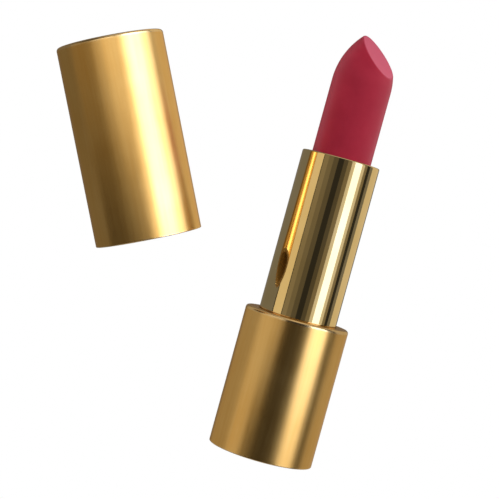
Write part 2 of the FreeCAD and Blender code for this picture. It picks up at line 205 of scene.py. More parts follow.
class Graph:
    """The node tree of one material, built by expressions."""

    def __init__(self, name: str) -> None:
        """Make an empty material with an output.

        Args:
            name: The material's name.
        """
        self.material = bpy.data.materials.new(name)
        self.material.use_nodes = True
        self.tree = self.material.node_tree
        self.tree.nodes.clear()
        self.output = self.tree.nodes.new("ShaderNodeOutputMaterial")

    def node(self, kind: str, settings: dict, inputs: dict) -> bpy.types.Node:
        """Add a node.

        Args:
            kind: The node's type.
            settings: Properties to set first, such as a Math node's operation.
            inputs: Values or links of its sockets, by name or number.

        Returns:
            The new node.
        """
        made = self.tree.nodes.new(kind)
        for key, value in settings.items():
            setattr(made, key, value)
        for key, value in inputs.items():
            if isinstance(value, Signal):
                self.tree.links.new(value.socket, made.inputs[key])
            else:
                made.inputs[key].default_value = value
        return made

    def math(self, operation: str, first: Term, second: Term) -> Signal:
        """Add a Math node and return its result."""
        node = self.node("ShaderNodeMath", {"operation": operation}, {0: first, 1: second})
        return Signal(self, node.outputs[0])

    def mix(self, factor: Signal, first: Colour, second: Colour) -> Signal:
        """Mix two colours.

        Args:
            factor: Where the second colour shows.
            first: The colour at 0.
            second: The colour at 1.

        Returns:
            The mixed colour.
        """
        node = self.node(
            "ShaderNodeMix", {"data_type": "RGBA"},
            {0: factor, 6: (*first, 1.0), 7: (*second, 1.0)},
        )
        return Signal(self, node.outputs[2])

    def place(self) -> Signal:
        """Return the position on the piece, in metres."""
        node = self.node("ShaderNodeTexCoord", {}, {})
        return Signal(self, node.outputs["Object"])

    def unrolled(self) -> Signal:
        """Return the unrolled surface of a turned piece: around it, then along it."""
        node = self.node("ShaderNodeTexCoord", {}, {})
        return Signal(self, node.outputs["UV"])

    def mark(self, name: str) -> Signal:
        """Return a number stored on the mesh's points."""
        node = self.node("ShaderNodeAttribute", {"attribute_name": name}, {})
        return Signal(self, node.outputs["Fac"])

    def noise(self, place: Signal, per_metre: float, detail: float = 3.0) -> Signal:
        """Return noise from 0 to 1.

        Args:
            place: Where to read it.
            per_metre: How many grains fit in a metre.
            detail: Octaves.

        Returns:
            The noise value.
        """
        node = self.node(
            "ShaderNodeTexNoise", {}, {"Vector": place, "Scale": per_metre, "Detail": detail}
        )
        return Signal(self, node.outputs["Fac"])

    def bump(self, height: Signal, depth: float, strength: float = 1.0) -> Signal:
        """Return a bumped normal.

        Args:
            height: The height map, from 0 to 1.
            depth: What a height of 1 is worth, in metres.
            strength: Share of the effect.

        Returns:
            The normal for a shader.
        """
        node = self.node(
            "ShaderNodeBump", {}, {"Height": height, "Distance": depth, "Strength": strength}
        )
        return Signal(self, node.outputs["Normal"])

    def surface(self, inputs: dict) -> bpy.types.Material:
        """Finish the material with one Principled shader.

        Args:
            inputs: Values or links of the shader's sockets.

        Returns:
            The finished material.
        """
        shader = self.node("ShaderNodeBsdfPrincipled", {}, inputs)
        self.tree.links.new(shader.outputs["BSDF"], self.output.inputs["Surface"])
        return self.material


# ------------------------------------------------------------------ finishes


@dataclass(frozen=True)
class SatinMetal:
    """Anodised aluminium with a fine blasted grain under clear lacquer."""

    name: str = "satin_gold"
    deep: Colour = (0.76, 0.41, 0.10)
    pale: Colour = (0.82, 0.48, 0.14)
    worn: Colour = (0.90, 0.66, 0.34)
    brim: Colour = (1.0, 0.80, 0.52)
    roughness: float = 0.30
    roughness_swing: float = 0.06
    coat: float = 0.12
    coat_roughness: float = 0.16
    grain_per_metre: float = 5200.0
    grain_depth: float = 1.6e-6

    def make(self) -> bpy.types.Material:
        """Return the material."""
        graph = Graph(self.name)
        place, skin = graph.place(), graph.unrolled()
        cloud = graph.noise(place, 95.0)
        drawn = graph.noise(skin.scaled((1.0, 0.045, 1.0)), 1500.0, 2.0)
        grain = graph.noise(place, self.grain_per_metre, 2.0)
        edge = graph.mark(EDGE)
        tone = (cloud * 0.6 + drawn * 0.4).ramp(0.35, 0.65)
        colour = graph.mix(tone, self.deep, self.pale)
        wear = (edge * (0.35 + graph.noise(place, 900.0))).ramp(0.25, 0.9)
        worn = graph.node(
            "ShaderNodeMix", {"data_type": "RGBA"},
            {0: wear * 0.55, 6: colour, 7: (*self.worn, 1.0)},
        )
        dull = self.roughness + self.roughness_swing * (cloud + drawn - 1.0) - 0.08 * wear
        return graph.surface({
            "Base Color": Signal(graph, worn.outputs[2]), "Metallic": 1.0,
            "Specular Tint": (*self.brim, 1.0), "Roughness": dull, "Coat Weight": self.coat,
            "Coat Roughness": self.coat_roughness, "Coat IOR": 1.5,
            "Normal": graph.bump(grain + 0.35 * drawn, self.grain_depth),
        })


@dataclass(frozen=True)
class PolishedMetal:
    """Bright anodised aluminium with hairline marks around and along it."""

    name: str = "polished_gold"
    deep: Colour = (0.80, 0.59, 0.26)
    pale: Colour = (0.86, 0.66, 0.34)
    brim: Colour = (1.0, 0.92, 0.76)
    roughness: float = 0.055
    hairline: float = 0.05
    depth: float = 0.25e-6

    def make(self) -> bpy.types.Material:
        """Return the material."""
        graph = Graph(self.name)
        place, skin = graph.place(), graph.unrolled()
        cloud = graph.noise(place, 70.0)
        along = graph.noise(skin.scaled((1.0, 0.02, 1.0)), 2600.0, 3.0)
        around = graph.noise(skin.scaled((0.03, 1.0, 1.0)), 3400.0, 2.0)
        marks = (along * 0.6 + around * 0.4).ramp(0.5, 0.78)
        return graph.surface({
            "Base Color": graph.mix(cloud.ramp(0.35, 0.65), self.deep, self.pale),
            "Metallic": 1.0, "Roughness": self.roughness + self.hairline * marks,
            "Specular Tint": (*self.brim, 1.0), "Coat Weight": 0.12,
            "Coat Roughness": 0.05, "Coat IOR": 1.5,
            "Normal": graph.bump(marks, self.depth),
        })


@dataclass(frozen=True)
class Wax:
    """Pigmented wax, satin where it was moulded; the slanted face is painted paler, a painted
    highlight.
    """

    name: str = "lip_colour"
    deep: Colour = (0.42, 0.018, 0.042)
    light: Colour = (0.48, 0.024, 0.052)
    # Painted highlight: the slanted face gets this paler colour to stand for the light falling on
    # it.
    facet_highlight: Colour = (0.74, 0.115, 0.185)
    roughness: float = 0.46

    def make(self) -> bpy.types.Material:
        """Return the material."""
        graph = Graph(self.name)
        place = graph.place()
        cloud = graph.noise(place, 210.0)
        pores = graph.noise(place, 4200.0, 2.0)
        facet = graph.mark(FACET)
        moulded = graph.mix(cloud.ramp(0.3, 0.7), self.deep, self.light)
        # The facet mark blends in the slanted face's paler colour, a painted highlight.
        colour = graph.node(
            "ShaderNodeMix", {"data_type": "RGBA"},
            {0: facet, 6: moulded, 7: (*self.facet_highlight, 1.0)},
        )
        return graph.surface({
            "Base Color": Signal(graph, colour.outputs[2]),
            "Roughness": self.roughness + 0.10 * (cloud - 0.5) - 0.06 * facet,
            "Subsurface Weight": 0.08, "Subsurface Radius": (0.0012, 0.0003, 0.0003),
            "Subsurface Scale": 1.0, "Specular IOR Level": 0.25,
            "Specular Tint": (1.0, 0.45, 0.55, 1.0),
            "Sheen Weight": 0.10, "Sheen Roughness": 0.45,
            "Sheen Tint": (1.0, 0.45, 0.55, 1.0),
            "Normal": graph.bump(pores * 0.5 + cloud, 4.0e-6),
        })


@dataclass(frozen=True)
class Plastic:
    """Moulded plastic with a faint flow pattern and a spark-eroded skin."""

    name: str
    colour: Colour
    shade: float = 0.90
    roughness: float = 0.42

    def make(self) -> bpy.types.Material:
        """Return the material."""
        graph = Graph(self.name)
        place = graph.place()
        flow = graph.noise(place.scaled((1.0, 0.25, 1.0)), 260.0)
        skin = graph.noise(place, 5200.0, 2.0)
        dark = tuple(part * self.shade for part in self.colour)
        return graph.surface({
            "Base Color": graph.mix(flow.ramp(0.3, 0.7), dark, self.colour),
            "Roughness": self.roughness + 0.12 * (flow - 0.5),
            "Specular IOR Level": 0.5,
            "Normal": graph.bump(skin, 3.0e-6),
        })


@dataclass(frozen=True)
class TurnedSteel:
    """Steel faced on a lathe, with fine tool rings about the piece's own axis."""

    name: str
    centre: tuple[float, float, float]
    colour: Colour = (0.50, 0.50, 0.51)
    ring_pitch: float = 0.12 * MM

    def make(self) -> bpy.types.Material:
        """Return the material."""
        graph = Graph(self.name)
        place = graph.place()
        away = graph.node(
            "ShaderNodeVectorMath", {"operation": "DISTANCE"}, {0: place, 1: self.centre}
        )
        distance = Signal(graph, away.outputs["Value"])
        rings = 0.5 + 0.5 * graph.math("SINE", distance * (TURN / self.ring_pitch), 0.0)
        stain = graph.noise(place, 240.0)
        dark = tuple(part * 0.8 for part in self.colour)
        return graph.surface({
            "Base Color": graph.mix(stain.ramp(0.3, 0.7), dark, self.colour),
            "Metallic": 1.0, "Roughness": 0.30 + 0.15 * stain,
            "Normal": graph.bump(rings, 2.0e-6),
        })


@dataclass(frozen=True)
class Rubber:
    """Greased black rubber."""

    name: str = "ring_rubber"

    def make(self) -> bpy.types.Material:
        """Return the material."""
        graph = Graph(self.name)
        film = graph.noise(graph.place(), 900.0)
        return graph.surface({
            "Base Color": graph.mix(film, (0.018, 0.018, 0.019), (0.035, 0.034, 0.033)),
            "Roughness": 0.35 + 0.25 * film, "Specular IOR Level": 0.5,
            "Normal": graph.bump(film, 4.0e-6),
        })


# ------------------------------------------------------------------ turned meshes


@dataclass(frozen=True)
class Knot:
    """One corner of a turned outline: radius, height and the rounding there."""

    radius: float
    height: float
    rounding: float = 0.0


@dataclass(frozen=True)
class Ring:
    """One ring of points in a turned mesh."""

    radius: float
    height: float
    edge: float


def fillet(before: Knot, knot: Knot, after: Knot, steps: int) -> list[Ring]:
    """Round one corner, with support rings that keep the flats true.

    Args:
        before: The corner before it.
        knot: The corner to round.
        after: The corner after it.
        steps: How many pieces the arc has.

    Returns:
        The rings that stand for the corner.
    """
    here = Vector((knot.radius, knot.height))
    back = (Vector((before.radius, before.height)) - here).normalized()
    ahead = (Vector((after.radius, after.height)) - here).normalized()
    size = knot.rounding
    if size <= 0.0:
        guard = 0.02 * MM
        spots = [here + back * guard, here, here + ahead * guard]
        return [Ring(spot.x, spot.y, 0.6) for spot in spots]
    half = back.angle(ahead) / 2
    reach = size / math.tan(half)
    centre = here + (back + ahead).normalized() * (size / math.sin(half))
    first, last = here + back * reach, here + ahead * reach
    start, end = first - centre, last - centre
    sweep = start.angle(end)
    rings = [Ring(*(first + back * size * 0.25), 0.35), Ring(*(first + back * size * 0.04), 0.8)]
    for step in range(steps + 1):
        share = step / steps
        spot = centre + (
            start * math.sin((1 - share) * sweep) + end * math.sin(share * sweep)
        ) / math.sin(sweep)
        rings.append(Ring(spot.x, spot.y, 1.0))
    rings += [Ring(*(last + ahead * size * 0.04), 0.8), Ring(*(last + ahead * size * 0.25), 0.35)]
    return rings


@dataclass
class Lathe:
    """Turns a closed outline into a smooth mesh."""

    segments: int = 256
    arc_steps: int = 10
    run: float = 1.2 * MM

    def rings(self, outline: Sequence[Knot]) -> list[Ring]:
        """Work out every ring of a closed outline.

        Args:
            outline: The corners, in order round the section.

        Returns:
            The rings, with long flats divided.
        """
        count = len(outline)
        corners: list[list[Ring]] = []
        for index, knot in enumerate(outline):
            if knot.radius <= 0.0:
                corners.append([Ring(0.0, knot.height, 0.0)])
            else:
                corners.append(fillet(outline[index - 1], knot, outline[(index + 1) % count],
                                      self.arc_steps))
        rings: list[Ring] = []
        for index, corner in enumerate(corners):
            rings += corner
            following = corners[(index + 1) % count][0]
            last = corner[-1]
            length = math.hypot(following.radius - last.radius, following.height - last.height)
            pieces = max(1, int(length / self.run))
            for step in range(1, pieces):
                share = step / pieces
                rings.append(Ring(
                    last.radius + (following.radius - last.radius) * share,
                    last.height + (following.height - last.height) * share, 0.0))
        return rings

    def turn(self, name: str, outline: Sequence[Knot], place: Matrix) -> bpy.types.Object:
        """Make the turned object.

        Args:
            name: The piece's name.
            outline: The corners of its section.
            place: Where its foot and axis lie in the frame.

        Returns:
            The new object, with an edge mark and an unrolled map.
        """
        rings = self.rings(outline)
        mesh = bpy.data.meshes.new(name)
        grid = bmesh.new()
        marks = grid.verts.layers.float.new(EDGE)
        skin = grid.loops.layers.uv.new("skin")
        rows = []
        for ring in rings:
            if ring.radius <= 0.0:
                rows.append([grid.verts.new((0.0, 0.0, ring.height))])
            else:
                rows.append([
                    grid.verts.new((ring.radius * math.cos(TURN * step / self.segments),
                                    ring.radius * math.sin(TURN * step / self.segments),
                                    ring.height))
                    for step in range(self.segments)])
            for vert in rows[-1]:
                vert[marks] = ring.edge
        travelled = [0.0]
        for first, second in zip(rings, rings[1:] + rings[:1]):
            travelled.append(travelled[-1] + math.hypot(second.radius - first.radius,
                                                        second.height - first.height))
        widest = max(ring.radius for ring in rings)
        for index, row in enumerate(rows):
            self.band(grid, skin, row, rows[(index + 1) % len(rows)],
                      (travelled[index], travelled[index + 1]), widest)
        bmesh.ops.recalc_face_normals(grid, faces=grid.faces)
        grid.to_mesh(mesh)
        grid.free()
        return finished(name, mesh, place)

    def band(self, grid: bmesh.types.BMesh, skin: bmesh.types.BMLayerItem,
             low: list, high: list, along: tuple[float, float], widest: float) -> None:
        """Join two rings of points with faces.

        Args:
            grid: The mesh being made.
            skin: Its unrolled map.
            low: The first ring.
            high: The second ring.
            along: How far along the section the two rings are.
            widest: The radius that sets the scale around.
        """
        if len(low) == 1 and len(high) == 1:
            return
        for step in range(self.segments):
            after = (step + 1) % self.segments
            first = TURN * widest * step / self.segments
            second = TURN * widest * (step + 1) / self.segments
            corners = [(low[step % len(low)], first, along[0]),
                       (low[after % len(low)], second, along[0]),
                       (high[after % len(high)], second, along[1]),
                       (high[step % len(high)], first, along[1])]
            if len(low) == 1:
                corners.pop(1)
            if len(high) == 1:
                corners.pop(2)
            face = grid.faces.new([corner[0] for corner in corners])
            face.smooth = True
            for loop, corner in zip(face.loops, corners):
                loop[skin].uv = (corner[1], corner[2])


def finished(name: str, mesh: bpy.types.Mesh, place: Matrix) -> bpy.types.Object:
    """Put a mesh in the frame, smooth except at sharp corners.

    Args:
        name: The piece's name.
        mesh: Its mesh, upright on its own axis.
        place: Where it lies in the frame.

    Returns:
        The new object at the origin, its place in its mesh.
    """
    mesh.transform(place)
    mesh.set_sharp_from_angle(angle=math.radians(50))
    made = bpy.data.objects.new(name, mesh)
    bpy.context.scene.collection.objects.link(made)
    return made


def dress(made: bpy.types.Object, material: bpy.types.Material) -> None:
    """Give an object one material."""
    made.data.materials.clear()
    made.data.materials.append(material)


def settle(made: bpy.types.Object, body: Body, node: str) -> None:
    """Attach a rebuilt piece to the frame.

    Args:
        made: The piece.
        body: The body it rides on.
        node: The node it stands for.
    """
    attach(made, body.value)
    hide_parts(node)
    log.info("%s rides on %s", made.name, body.value)


# ------------------------------------------------------------------ the frame


@dataclass
class Layout:
    """Where the two pieces lie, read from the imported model."""

    frame: dict
    upright: Matrix = field(default_factory=lambda: Matrix.Rotation(-math.pi / 2, 4, "X"))

    def mount(self, name: str) -> dict:
        """Return one mount of the record."""
        return next(item for item in self.frame["record"]["mounts"] if item["name"] == name)

    def extent(self, node: str) -> tuple[float, float]:
        """Return the foot and top of a node of the lipstick, along its axis."""
        low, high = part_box(node)
        return low.y, high.y

    def cap_axis(self) -> Vector:
        """Return the direction from the cap's mouth to its closed end."""
        return -Vector(self.mount("cap_socket")["axis"]).normalized()

    def cap_mouth(self, inset: float) -> Vector:
        """Return the centre of the cap's mouth.

        Args:
            inset: How far the socket's straight wall starts inside the mouth.

        Returns:
            The point in the frame.
        """
        socket = self.mount("cap_socket")
        back = socket["dims"]["length_mm"] * MM / 2 + inset
        return Vector(socket["pos_m"]) - self.cap_axis() * back

    def cap_place(self, inset: float) -> Matrix:
        """Return the placement of the cap, from upright to lying."""
        axis = self.cap_axis()
        swing = math.atan2(-axis.x, axis.y)
        return (Matrix.Translation(self.cap_mouth(inset))
                @ Matrix.Rotation(swing, 4, "Z") @ self.upright)


# ------------------------------------------------------------------ the base


@dataclass
class Base:
    """Drawn shell of the base with its closing disc."""

    layout: Layout
    lathe: Lathe = field(default_factory=Lathe)
    wall: float = 0.6 * MM
    shoulder: float = 0.8 * MM
    shoulder_gap: float = 0.1 * MM
    edge_round: float = 0.6 * MM
    foot_round: float = 0.2 * MM
    inner_round: float = 0.08 * MM
    dish: float = 0.12 * MM
    dish_rim: float = 1.1 * MM

    def radius(self) -> float:
        """Return the outer radius of the base."""
        return self.layout.mount("base_barrel")["dims"]["r_mm"] * MM

    def shell(self) -> bpy.types.Object:
        """Build the shell: barrel, shoulder and the hole for the sleeve."""
        foot, top = self.layout.extent("base_shell")
        outer = self.radius()
        inner = outer - self.wall
        hole = self.layout.mount("sleeve_spigot")["dims"]["r_mm"] * MM + self.shoulder_gap
        under = top - self.shoulder
        outline = [
            Knot(inner, foot, self.inner_round), Knot(outer, foot, self.foot_round),
            Knot(outer, top, self.edge_round), Knot(hole, top, self.inner_round),
            Knot(hole, under), Knot(inner, under)]
        made = self.lathe.turn("barrel_shell", outline, self.layout.upright)
        dress(made, SatinMetal().make())
        settle(made, Body.BASE, "base_shell")
        return made

    def disc(self) -> bpy.types.Object:
        """Build the closing disc, dished inside a narrow rim."""
        foot, top = self.layout.extent("bottom_disc")
        outer = self.radius() - self.wall
        rim = outer - self.dish_rim
        outline = [
            Knot(outer, foot, self.inner_round), Knot(outer, top),
            Knot(0.0, top), Knot(0.0, foot + self.dish),
            Knot(rim - self.dish, foot + self.dish, self.inner_round),
            Knot(rim, foot, self.inner_round)]
        made = self.lathe.turn("closing_disc", outline, self.layout.upright)
        dress(made, SatinMetal(name="disc_gold").make())
        settle(made, Body.BASE, "bottom_disc")
        return made

    def build(self) -> list[bpy.types.Object]:
        """Build both pieces."""
        return [self.shell(), self.disc()]


# ------------------------------------------------------------------ the sleeve


@dataclass
class Sleeve:
    """Polished sleeve with a rolled rim."""

    layout: Layout
    lathe: Lathe = field(default_factory=Lathe)
    wall: float = 0.4 * MM
    lip: float = 0.4 * MM
    lip_width: float = 1.4 * MM
    relief: float = 0.2 * MM
    relief_rise: float = 0.1 * MM
    rim_round: float = 0.3 * MM
    lip_round: float = 0.12 * MM

    def build(self) -> list[bpy.types.Object]:
        """Build the sleeve."""
        foot, top = self.layout.extent("sleeve_shell")
        shoulder = self.layout.extent("base_shell")[1]
        outer = self.layout.mount("sleeve_spigot")["dims"]["r_mm"] * MM
        inner = outer - self.wall
        turned_down = outer - self.relief
        step = shoulder + self.relief_rise
        outline = [
            Knot(inner, foot), Knot(turned_down, foot), Knot(turned_down, step),
            Knot(outer, step, 0.03 * MM), Knot(outer, top, self.rim_round),
            Knot(outer - self.lip_width, top, self.lip_round),
            Knot(outer - self.lip_width, top - self.lip, self.lip_round),
            Knot(inner, top - self.lip)]
        made = self.lathe.turn("sleeve_tube", outline, self.layout.upright)
        dress(made, PolishedMetal().make())
        settle(made, Body.SLEEVE, "sleeve_shell")
        return [made]


# ------------------------------------------------------------------ the stick


@dataclass(frozen=True)
class StickShape:
    """Stick of wax: straight, then an ogive head cut by a slanted face.

    Heights are on the stick's axis, in the frame, with the stick raised.
    """

    radius: float
    foot: float
    rim: float
    straight: float = 15.0 * MM
    ogive: float = 14.5 * MM
    facet_low: float = 17.6 * MM
    facet_inset: float = 0.25 * MM
    facet_turn: float = math.radians(-40.0)
    edge_round: float = 0.32 * MM
    lip_proud: float = 0.035 * MM
    heart: float = 0.9 * MM

    @property
    def bend(self) -> float:
        """Height at which the head starts."""
        return self.rim + self.straight

    @property
    def level(self) -> float:
        """Height at which the slanted plane crosses the axis."""
        return self.rim + self.facet_low + self.radius - self.facet_inset

    @property
    def middle(self) -> Vector:
        """Point near the middle of the slanted face."""
        return Vector((self.heart * math.cos(self.facet_turn),
                       self.heart * math.sin(self.facet_turn), self.level - self.heart))

    def radius_at(self, height: float) -> float:
        """Return the stick's radius at a height."""
        above = height - self.bend
        if above <= 0.0:
            return self.radius
        return self.radius - self.ogive + math.sqrt(max(self.ogive ** 2 - above ** 2, 0.0))

    def spot(self, azimuth: float, height: float) -> Vector:
        """Return the point of the side at an azimuth and a height."""
        radius = self.radius_at(height)
        return Vector((radius * math.cos(azimuth), radius * math.sin(azimuth), height))

    def cut(self, azimuth: float) -> float:
        """Return the height at which the slanted plane meets one side line.

        Args:
            azimuth: The side line's angle round the axis.

        Returns:
            The height.
        """
        lean = math.cos(azimuth - self.facet_turn)
        low, high = self.bend - 4 * MM, self.bend + 0.8 * self.ogive
        for _ in range(40):
            middle = (low + high) / 2
            if middle + self.radius_at(middle) * lean < self.level:
                low = middle
            else:
                high = middle
        return low

    def line(self, azimuth: float) -> list[tuple[Vector, float]]:
        """Work out one side line, from the foot to the middle of the slanted face.

        Args:
            azimuth: Where the line is, round the axis.

        Returns:
            Points, each with its share of the slanted face: its painted highlight colour and
            smoother finish.
        """
        top = self.cut(azimuth)
        corner = self.spot(azimuth, top)
        below = self.spot(azimuth, top - self.edge_round)
        inside = corner + (self.middle - corner).normalized() * self.edge_round
        heights = [self.foot, self.foot + 0.1 * MM]
        heights += [self.foot + (self.bend - self.foot) * step / 24 for step in range(1, 24)]
        low = min(self.bend, top - 2 * MM)
        heights += [low + (top - self.edge_round - low) * step / 26 for step in range(27)]
        line = [(self.spot(azimuth, height), 0.0) for height in sorted(heights)]
        out = Vector((math.cos(azimuth), math.sin(azimuth), 0.0))
        for step in range(1, 7):
            share = step / 6
            curve = (below * (1 - share) ** 2 + corner * 2 * share * (1 - share)
                     + inside * share ** 2)
            proud = self.lip_proud * math.sin(math.pi * share)
            line.append((curve + out * proud, share ** 2))
        for step in range(1, 14):
            line.append((inside.lerp(self.middle, step / 14), 1.0))
        return line


@dataclass
class Stick:
    """The stick of wax."""

    layout: Layout
    columns: int = 240

    def build(self) -> list[bpy.types.Object]:
        """Build the stick."""
        low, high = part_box("bullet")
        shape = StickShape((high.x - low.x) / 2, low.y, self.layout.extent("sleeve_shell")[1])
        grid = bmesh.new()
        # The facet mark, which carries the slanted face's painted highlight colour.
        facet_highlight = grid.verts.layers.float.new(FACET)
        heart = grid.verts.new(shape.middle)
        heart[facet_highlight] = 1.0
        sole = grid.verts.new((0.0, 0.0, shape.foot))
        columns = []
        for number in range(self.columns):
            column = []
            for point, share in shape.line(TURN * number / self.columns):
                vert = grid.verts.new(point)
                vert[facet_highlight] = share
                column.append(vert)
            columns.append(column)
        for index, column in enumerate(columns):
            beside = columns[(index + 1) % self.columns]
            grid.faces.new((sole, beside[0], column[0]))
            for step in range(len(column) - 1):
                grid.faces.new((column[step], beside[step], beside[step + 1], column[step + 1]))
            grid.faces.new((column[-1], beside[-1], heart))
        for face in grid.faces:
            face.smooth = True
        bmesh.ops.recalc_face_normals(grid, faces=grid.faces)
        mesh = bpy.data.meshes.new("wax_stick")
        grid.to_mesh(mesh)
        grid.free()
        made = finished("wax_stick", mesh, self.layout.upright)
        dress(made, Wax().make())
        settle(made, Body.CARRIER, "bullet")
        return [made]


# ------------------------------------------------------------------ the cap


@dataclass
class Cap:
    """Drawn shell of the cap."""

    layout: Layout
    lathe: Lathe = field(default_factory=Lathe)
    wall: float = 0.6 * MM
    end: float = 0.8 * MM
    inset: float = 0.6 * MM
    headroom: float = 6.1 * MM
    edge_round: float = 0.6 * MM
    mouth_round: float = 0.2 * MM
    inner_round: float = 0.08 * MM

    def length(self) -> float:
        """Return the cap's outer length."""
        socket = self.layout.mount("cap_socket")["dims"]["length_mm"] * MM
        return self.inset + socket + self.headroom

    def radius(self) -> float:
        """Return the cap's outer radius, half its height on the table."""
        low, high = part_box("cap_shell")
        return (high.z - low.z) / 2

    def build(self) -> list[bpy.types.Object]:
        """Build the cap's shell."""
        outer, top = self.radius(), self.length()
        inner, under = outer - self.wall, top - self.end
        outline = [
            Knot(inner, 0.0, self.inner_round), Knot(outer, 0.0, self.mouth_round),
            Knot(outer, top, self.edge_round), Knot(0.0, top),
            Knot(0.0, under), Knot(inner, under)]
        made = self.lathe.turn("cap_tube", outline, self.layout.cap_place(self.inset))
        dress(made, SatinMetal(name="cap_gold").make())
        settle(made, Body.CAP, "cap_shell")
        return [made]


# ------------------------------------------------------------------ inner pieces


@dataclass
class InnerPieces:
    """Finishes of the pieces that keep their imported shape."""

    frame: dict
    layout: Layout

    def middle(self, node: str) -> tuple[float, float, float]:
        """Return the middle of a node's box."""
        low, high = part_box(node)
        return tuple((low + high) / 2)

    def build(self) -> list[bpy.types.Object]:
        """Dress every node that is carried over."""
        finishes: dict[str, Callable[[], bpy.types.Material]] = {
            "base_liner": Plastic("socket_plastic", (0.70, 0.67, 0.60)).make,
            "inner_body": Plastic("fork_plastic", (0.78, 0.77, 0.73), 0.93, 0.34).make,
            "spiral": Plastic("spiral_plastic", (0.74, 0.73, 0.68), 0.93, 0.36).make,
            "cup": Plastic("cup_plastic", (0.80, 0.79, 0.76), 0.93, 0.32).make,
            "cap_liner": Plastic("liner_plastic", (0.50, 0.31, 0.10)).make,
            "base_weight": TurnedSteel("slug_steel", self.middle("base_weight")).make,
            "cap_weight": TurnedSteel("cap_slug_steel", self.middle("cap_weight")).make,
            "torque_ring": Rubber().make,
            "shade_label": Plastic("label_film", (0.42, 0.035, 0.062), 0.95, 0.30).make,
        }
        dressed = []
        for name, make in finishes.items():
            made = self.frame["nodes"][name]
            dress(made, make())
            for face in made.data.polygons:
                face.use_smooth = True
            made.data.set_sharp_from_angle(angle=math.radians(35))
            log.info("%s dressed", name)
            dressed.append(made)
        return dressed


# ------------------------------------------------------------------ the studio


class Tone(Enum):
    """The colour of a lamp."""

    WARM = (1.0, 0.88, 0.65)
    PLAIN = (1.0, 1.0, 1.0)
    COOL = (0.85, 1.0, 1.4)


@dataclass(frozen=True)
class Strip:
    """One long soft light beside a piece, seen in its metal as a band.

    The angle is from straight up, over to the right; the length runs along the axis.
    """

    angle: float
    spread: float
    strength: float
    tone: Tone = Tone.PLAIN
    start: float = -0.24
    end: float = 0.24
    distance: float = 0.3


@dataclass(frozen=True)
class Mat:
    """One long soft light lying on the table, from near to far beside the axis.

    Distances to the left are below zero.
    """

    near: float
    far: float
    strength: float
    tone: Tone = Tone.PLAIN
    start: float = -0.12
    end: float = 0.12


@dataclass
class Tent:
    """Strip lights and mats round one piece, lighting only that piece."""

    name: str
    centre: Vector
    axis: Vector
    strips: Sequence[Strip]
    mats: Sequence[Mat]
    table_gap: float = 0.3 * MM

    def hang(self, name: str, soft: Union[Strip, Mat], across: Vector, spot: Vector,
             width: float, lit: bpy.types.Collection) -> None:
        """Hang one light.

        Args:
            name: Its name.
            soft: The strip or the mat.
            across: The direction of its width.
            spot: Its middle.
            width: Its width.
            lit: The pieces that it lights.
        """
        light = bpy.data.lights.new(name, "AREA")
        light.shape = "RECTANGLE"
        light.size, light.size_y = width, soft.end - soft.start
        light.energy = soft.strength * math.pi * light.size * light.size_y
        light.color = soft.tone.value
        lamp = bpy.data.objects.new(name, light)
        lamp.location = spot
        lamp.rotation_mode = "QUATERNION"
        lamp.rotation_quaternion = Matrix(
            (across, self.axis, across.cross(self.axis))).transposed().to_quaternion()
        lamp.visible_camera = False
        lamp.light_linking.receiver_collection = lit
        bpy.context.scene.collection.objects.link(lamp)

    def build(self, pieces: Iterable[bpy.types.Object]) -> None:
        """Hang the strips and lay the mats.

        Args:
            pieces: The objects that they light.
        """
        lit = bpy.data.collections.new(f"{self.name}_lit")
        for item in pieces:
            lit.objects.link(item)
        up = Vector((0.0, 0.0, 1.0))
        right = self.axis.cross(up).normalized()
        for number, strip in enumerate(self.strips):
            angle = math.radians(strip.angle)
            outward = right * math.sin(angle) + up * math.cos(angle)
            width = 2 * strip.distance * math.tan(math.radians(strip.spread) / 2)
            spot = (self.centre + outward * strip.distance
                    + self.axis * (strip.start + strip.end) / 2)
            self.hang(f"{self.name}_strip_{number}", strip, self.axis.cross(outward),
                      spot, width, lit)
        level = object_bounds()[0].z + self.table_gap
        for number, mat in enumerate(self.mats):
            spot = (self.centre + right * (mat.near + mat.far) / 2
                    + self.axis * (mat.start + mat.end) / 2)
            spot.z = level
            self.hang(f"{self.name}_mat_{number}", mat, up.cross(self.axis), spot,
                      abs(mat.far - mat.near), lit)
        log.info("%s: %d lights", self.name, len(self.strips) + len(self.mats))


# Where some lights begin or end, along the axis from the middle of their tent.
BASE_SPLIT = -0.065
STICK_START = 0.03
CAP_START = 0.005

# Soft lights for each group of pieces: dimmer on the left, a key light on the right.
BASE_STRIPS = (
    Strip(-72.0, 36.0, 0.65),
    Strip(-43.0, 22.0, 0.70, start=BASE_SPLIT),
    Strip(50.0, 34.0, 1.0, end=BASE_SPLIT),
    Strip(46.0, 40.0, 3.0, Tone.COOL, start=BASE_SPLIT),
)
BASE_MATS = (
    Mat(-0.016, -0.24, 0.20),
    Mat(0.016, 0.24, 0.30),
)
SLEEVE_STRIPS = (
    Strip(-72.0, 28.0, 0.75, Tone.WARM),
    Strip(-49.0, 14.0, 0.22, Tone.WARM),
    Strip(-35.0, 14.0, 0.15, Tone.WARM),
    Strip(-21.0, 14.0, 0.08, Tone.WARM),
    Strip(8.0, 12.0, 0.06, Tone.WARM),
    Strip(20.0, 12.0, 0.18, Tone.WARM),
    Strip(31.0, 10.0, 0.70),
    Strip(47.0, 22.0, 2.0, Tone.COOL),
    Strip(63.0, 10.0, 0.70),
    Strip(73.0, 10.0, 0.20, Tone.WARM),
)
SLEEVE_MATS = (
    Mat(0.016, 0.075, 0.50, Tone.WARM),
)
STICK_STRIPS = (
    Strip(-68.0, 50.0, 1.0, start=STICK_START),
    Strip(-18.0, 50.0, 1.4, start=STICK_START),
    Strip(34.0, 54.0, 1.9, start=STICK_START),
    Strip(80.0, 38.0, 2.6, start=STICK_START),
)
STICK_MATS = (
    Mat(-0.016, -0.24, 0.80),
    Mat(0.016, 0.24, 0.70),
)
